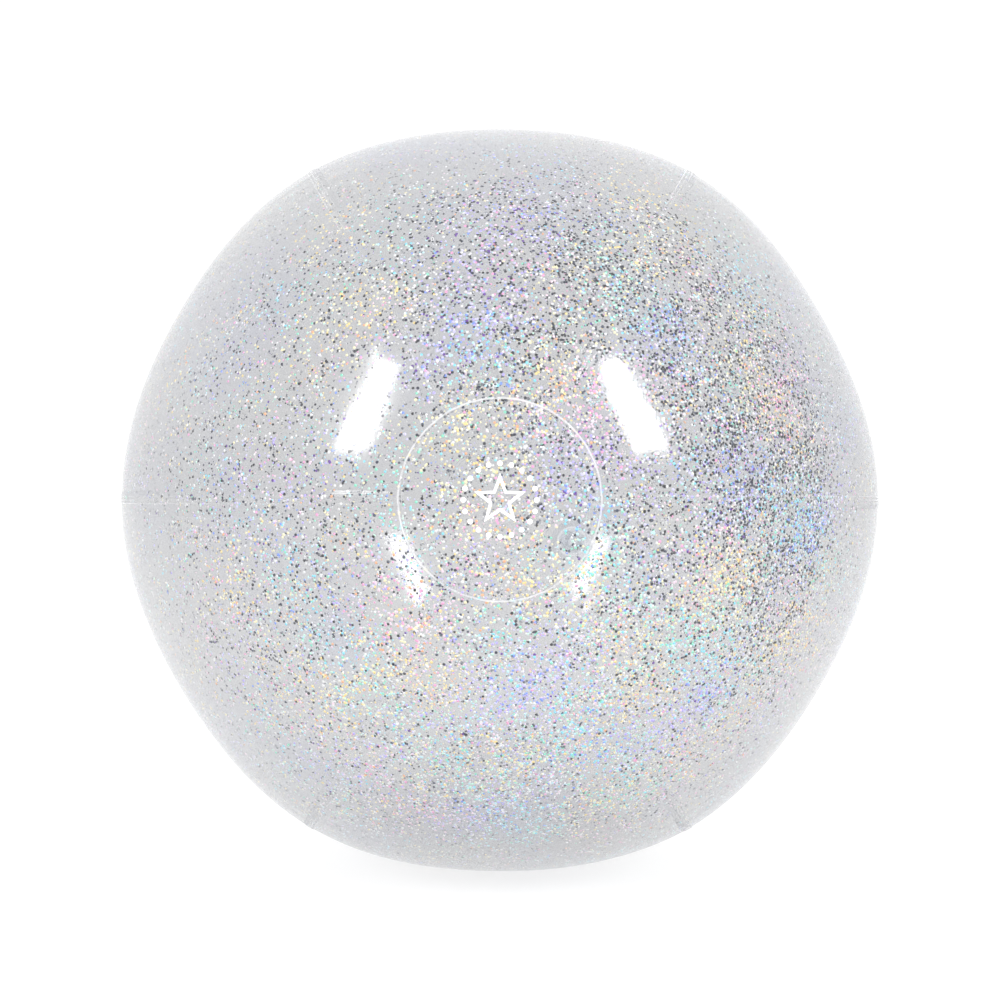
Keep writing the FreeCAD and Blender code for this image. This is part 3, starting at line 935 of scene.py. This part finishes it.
def glitter_field(u):
    """How thickly the glitter lies in each direction, and the share of each palette there, which paints light and
    reflection into the flakes' colours.
    """
    total = np.full(len(u), 0.60)
    # painted light: the lower half is given paler flakes and fewer dark ones, as flakes there catch more of the light
    low = smooth(-u[:, 2], -0.20, 0.45)
    names = {
        "dark": 0.16 * (1 - low),
        "mixed": 0.24 * (1 - low),
        "pastel": 0.06 + 0.20 * low,
        "pale": 0.14 + 0.20 * low,
    }
    # painted light: near the ball's outline as seen from the front, the flakes are given pale inks and fewer dark ones,
    # as they lie edge-on to the light there
    out = np.hypot(u[:, 0], u[:, 2]) * R / (577.5 + R * u[:, 1]) / 0.318
    side = smooth(out, 0.66, 0.90)
    names["dark"] = names["dark"] * (1 - 0.95 * side)
    names["mixed"] = names["mixed"] * (1 - 0.85 * side)
    names["pastel"] = names["pastel"] * (1 - 0.75 * side)
    names["pale"] = names["pale"] + 0.45 * side
    # painted light: patches near the outline turn to pale inks
    edge = smooth(out, 0.84, 0.97)
    for a, b, far, spread, amount, palette in LOBES:
        d = toward(a, b, far)
        w = amount * np.exp((u @ d - 1) / (math.radians(spread) ** 2))
        names["pale"] = names["pale"] + w * edge
        w = w * (1 - 0.85 * edge)
        total += w
        names[palette] += w
    for a, b, far, spread, amount in BARE:
        d = toward(a, b, far)
        total *= 1 - amount * np.exp((u @ d - 1) / (math.radians(spread) ** 2))
    # clumps and gaps a few centimetres wide
    p = u * R
    total *= 0.72 + 0.28 * np.sin(p @ np.array([0.13, 0.05, -0.09]) + 1.0) * np.sin(p @ np.array([-0.06, 0.11, 0.12]) + 2.0)
    total *= 0.85 + 0.3 * np.sin(p @ np.array([0.31, -0.22, 0.17])) * np.sin(p @ np.array([-0.19, 0.24, 0.33]) + 0.5)
    return total, names


def glitter(count, seed):
    rng = np.random.default_rng(seed)
    got = []
    top = 7.2
    while sum(len(g) for g in got) < count:
        u = rng.normal(size=(60000, 3))
        u /= np.linalg.norm(u, axis=1)[:, None]
        total, _ = glitter_field(u)
        u = u[rng.uniform(0, top, len(u)) < total]
        away = np.linalg.norm(u * 171 - V0, axis=1)
        u = u[away > 15.5]
        got.append(u)
    u = np.concatenate(got)[:count]
    total, names = glitter_field(u)
    share = sum(names[k][:, None] * p[None, :] for k, p in (("dark", DARK), ("mixed", MIXED), ("pastel", PASTEL), ("pale", PALE)))
    # painted reflection: the foil's colour depends on the way it faces the light; here it is set by place, so
    # neighbours show alike
    p = u * R
    for lean, k1, k2 in (
        (WARM, (0.055, 0.03, -0.05), (-0.02, 0.06, 0.07)),
        (COOL, (-0.05, 0.05, 0.045), (0.07, -0.02, 0.05)),
        (PURPLE, (0.04, -0.06, 0.05), (0.05, 0.05, -0.06)),
    ):
        local = np.sin(p @ np.array(k1) + 1.3) + np.sin(p @ np.array(k2) * 1.4 + 0.4)
        share = share * np.exp(0.75 * local[:, None] * lean[None, :])
    share /= share.sum(1)[:, None]
    pick = (share.cumsum(1) < rng.uniform(0, 1, len(u))[:, None]).sum(1).clip(0, len(INKS) - 1)
    return u, pick, rng


def flake_object(name, u, pick, rng, across=0.98, gap=0.06):
    n = len(u)
    th = np.arccos(np.clip(-u[:, 1], -1, 1))
    ph = np.arctan2(u[:, 2], u[:, 0])
    size = across / 2 * rng.uniform(0.70, 1.28, n)
    tilt = np.abs(rng.normal(0, 7, n)).clip(0, 24)
    tilt = np.radians(tilt)
    cap = R * np.sin(th) < CAP_R + 1.2
    deep = np.where(cap, 2 * FILM + WELD_GAP, FILM) + gap + 0.03 + size * np.sin(tilt)
    seam_off = ((ph / STEP + 0.5) % 1 - 0.5) * STEP * R * np.sin(th)
    deep += rng.uniform(0, 0.10, n)
    p = skin(th[:, None], ph[:, None], deep[:, None])[:, 0]
    normal = u.copy()
    helper = np.where(np.abs(normal[:, :1]) < 0.8, np.array([[1.0, 0, 0]]), np.array([[0, 1.0, 0]]))
    x = np.cross(normal, helper)
    x /= np.linalg.norm(x, axis=1)[:, None]
    y = np.cross(normal, x)
    az = rng.uniform(0, TAU, n)
    lean = x * np.cos(az)[:, None] + y * np.sin(az)[:, None]
    nn = normal * np.cos(tilt)[:, None] + lean * np.sin(tilt)[:, None]
    e1 = np.cross(nn, y * np.cos(az)[:, None] - x * np.sin(az)[:, None])
    e1 /= np.linalg.norm(e1, axis=1)[:, None]
    e2 = np.cross(nn, e1)
    spin = rng.uniform(0, TAU, n)
    thick = 0.025
    verts = np.zeros((n, 12, 3))
    for k in range(6):
        a = spin + k * TAU / 6
        rim = (e1 * np.cos(a)[:, None] + e2 * np.sin(a)[:, None]) * size[:, None]
        verts[:, k] = p + rim + nn * thick
        verts[:, 6 + k] = p + rim - nn * thick
    # nothing lies below the film it rests on
    low = FLAT_Z + FILM + 0.04
    verts[..., 2] = np.maximum(verts[..., 2], low + 0.02 * (np.arange(12)[None, :] < 6))
    faces = [[0, 1, 2, 3, 4, 5], [11, 10, 9, 8, 7, 6]]
    quads = [[k, 6 + k, 6 + (k + 1) % 6, (k + 1) % 6] for k in range(6)]
    loops = np.concatenate([np.array(faces[0]), np.array(faces[1]), np.array(quads).ravel()])
    per = len(loops)
    starts = np.concatenate([[0, 6], 12 + 4 * np.arange(6)])
    totals = np.array([6, 6] + [4] * 6)
    mesh = bpy.data.meshes.new(name)
    mesh.vertices.add(n * 12)
    mesh.vertices.foreach_set("co", (verts.reshape(-1) * MM).astype(np.float32))
    mesh.loops.add(n * per)
    mesh.loops.foreach_set("vertex_index", (loops[None, :] + 12 * np.arange(n)[:, None]).ravel().astype(np.int32))
    mesh.polygons.add(n * 8)
    mesh.polygons.foreach_set("loop_start", (starts[None, :] + per * np.arange(n)[:, None]).ravel().astype(np.int32))
    mesh.polygons.foreach_set("loop_total", np.tile(totals, n).astype(np.int32))
    mesh.polygons.foreach_set("material_index", np.repeat(pick, 8).astype(np.int32))
    mesh.update(calc_edges=True)
    for m in flake_mats:
        mesh.materials.append(m)
    # outward faces
    a, b, c = verts[0, 0], verts[0, 1], verts[0, 2]
    if np.dot(np.cross(b - a, c - b), nn[0]) < 0:
        mesh.flip_normals()
    ob = bpy.data.objects.new(name, mesh)
    bpy.context.scene.collection.objects.link(ob)
    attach(ob, "envelope")
    return ob


FLAKES = 69300
PER_PIECE = 9900
u, pick, rng = glitter(FLAKES, 11)
for k in range(FLAKES // PER_PIECE):
    s = slice(k * PER_PIECE, (k + 1) * PER_PIECE)
    ob = flake_object("glitter_%d" % (k + 1), u[s], pick[s], rng)
    if k == 0:
        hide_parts("glitter_flakes")

# ---- floor, light and camera ---------------------------------------------------------
def floor_mesh():
    """A pale floor: a wide flat disc, finely divided where the ball stands."""
    verts, faces = [], []
    radii = [0.0, 0.05, 0.1, 0.2, 0.35, 0.6, 1.0, 1.8, 3.2, 6.0, 12.0]
    n = 96
    verts.append((0, 0, 0))
    for r in radii[1:]:
        for k in range(n):
            a = TAU * k / n
            verts.append((r * math.cos(a), r * math.sin(a), 0.0))
    for k in range(n):
        faces.append((0, 1 + k, 1 + (k + 1) % n))
    for j in range(len(radii) - 2):
        for k in range(n):
            a, b = 1 + j * n + k, 1 + j * n + (k + 1) % n
            faces.append((a, a + n, b + n, b))
    mesh = bpy.data.meshes.new("floor")
    mesh.from_pydata(verts, [], faces)
    return mesh


floor_mat = bpy.data.materials.new("pale_floor")
floor_mat.use_nodes = True
nt = floor_mat.node_tree
fb = nt.nodes["Principled BSDF"]
fb.inputs["Roughness"].default_value = 0.75
fb.inputs["Specular IOR Level"].default_value = 0.15
grain = noise(nt, 160.0, 3.0, 0.6, node(nt, "ShaderNodeTexCoord").outputs["Object"])
fr = node(nt, "ShaderNodeMapRange")
link(nt, grain, fr.inputs["Value"])
fr.inputs["To Min"].default_value, fr.inputs["To Max"].default_value = 0.40, 0.44
fc = node(nt, "ShaderNodeCombineColor")
for k in range(3):
    link(nt, fr.outputs["Result"], fc.inputs[k])
link(nt, fc.outputs[0], fb.inputs["Base Color"])
fb.inputs["Emission Color"].default_value = (1.0, 1.0, 1.0, 1)  # an opal table lit from below
fb.inputs["Emission Strength"].default_value = 0.61

floor = bpy.data.objects.new("floor", floor_mesh())
floor.data.materials.append(floor_mat)
floor.location.z = FLAT_Z * MM - 0.0002
bpy.context.scene.collection.objects.link(floor)

world = bpy.data.worlds.new("studio")
bpy.context.scene.world = world
world.use_nodes = True
world.node_tree.nodes["Background"].inputs["Color"].default_value = (1.0, 1.0, 1.0, 1)
world.node_tree.nodes["Background"].inputs["Strength"].default_value = 1.07


def strip(name, where, target, width, height, watts, roll=0.0):
    data = bpy.data.lights.new(name, "AREA")
    data.shape, data.size, data.size_y, data.energy = "RECTANGLE", width, height, watts
    ob = bpy.data.objects.new(name, data)
    bpy.context.scene.collection.objects.link(ob)
    ob.location = where
    d = Vector(target) - Vector(where)
    q = d.to_track_quat("-Z", "Y")
    ob.rotation_euler = (q.to_matrix() @ Matrix.Rotation(roll, 3, "Z")).to_euler()
    ob.visible_camera = False
    return ob


def radiant(width, height, level):
    """Watts that give a flat lamp of this size a brightness of level."""
    return level * math.pi * width * height


for side_sign, name in ((-1, "strip_left"), (1, "strip_right")):
    d = Vector((side_sign * 0.528, -0.705, 0.385)).normalized()
    w, h = 0.34, 0.92
    strip(name, d * 2.6, (0, 0, 0), w, h, radiant(w, h, 34.0), roll=side_sign * math.radians(15))

camera = bpy.data.cameras.new("camera")
camera.lens = 42.8
camera.sensor_width = 36
camera.clip_end = 50
cam = bpy.data.objects.new("camera", camera)
bpy.context.scene.collection.objects.link(cam)
cam.location = (0.0, -0.5775, 0.0)
cam.rotation_euler = (math.pi / 2, 0, 0)
bpy.context.scene.camera = cam

scene = bpy.context.scene
scene.view_settings.view_transform = "Standard"
scene.cycles.transparent_max_bounces = 64
scene.cycles.max_bounces = 10
scene.cycles.caustics_reflective = False
scene.cycles.caustics_refractive = False
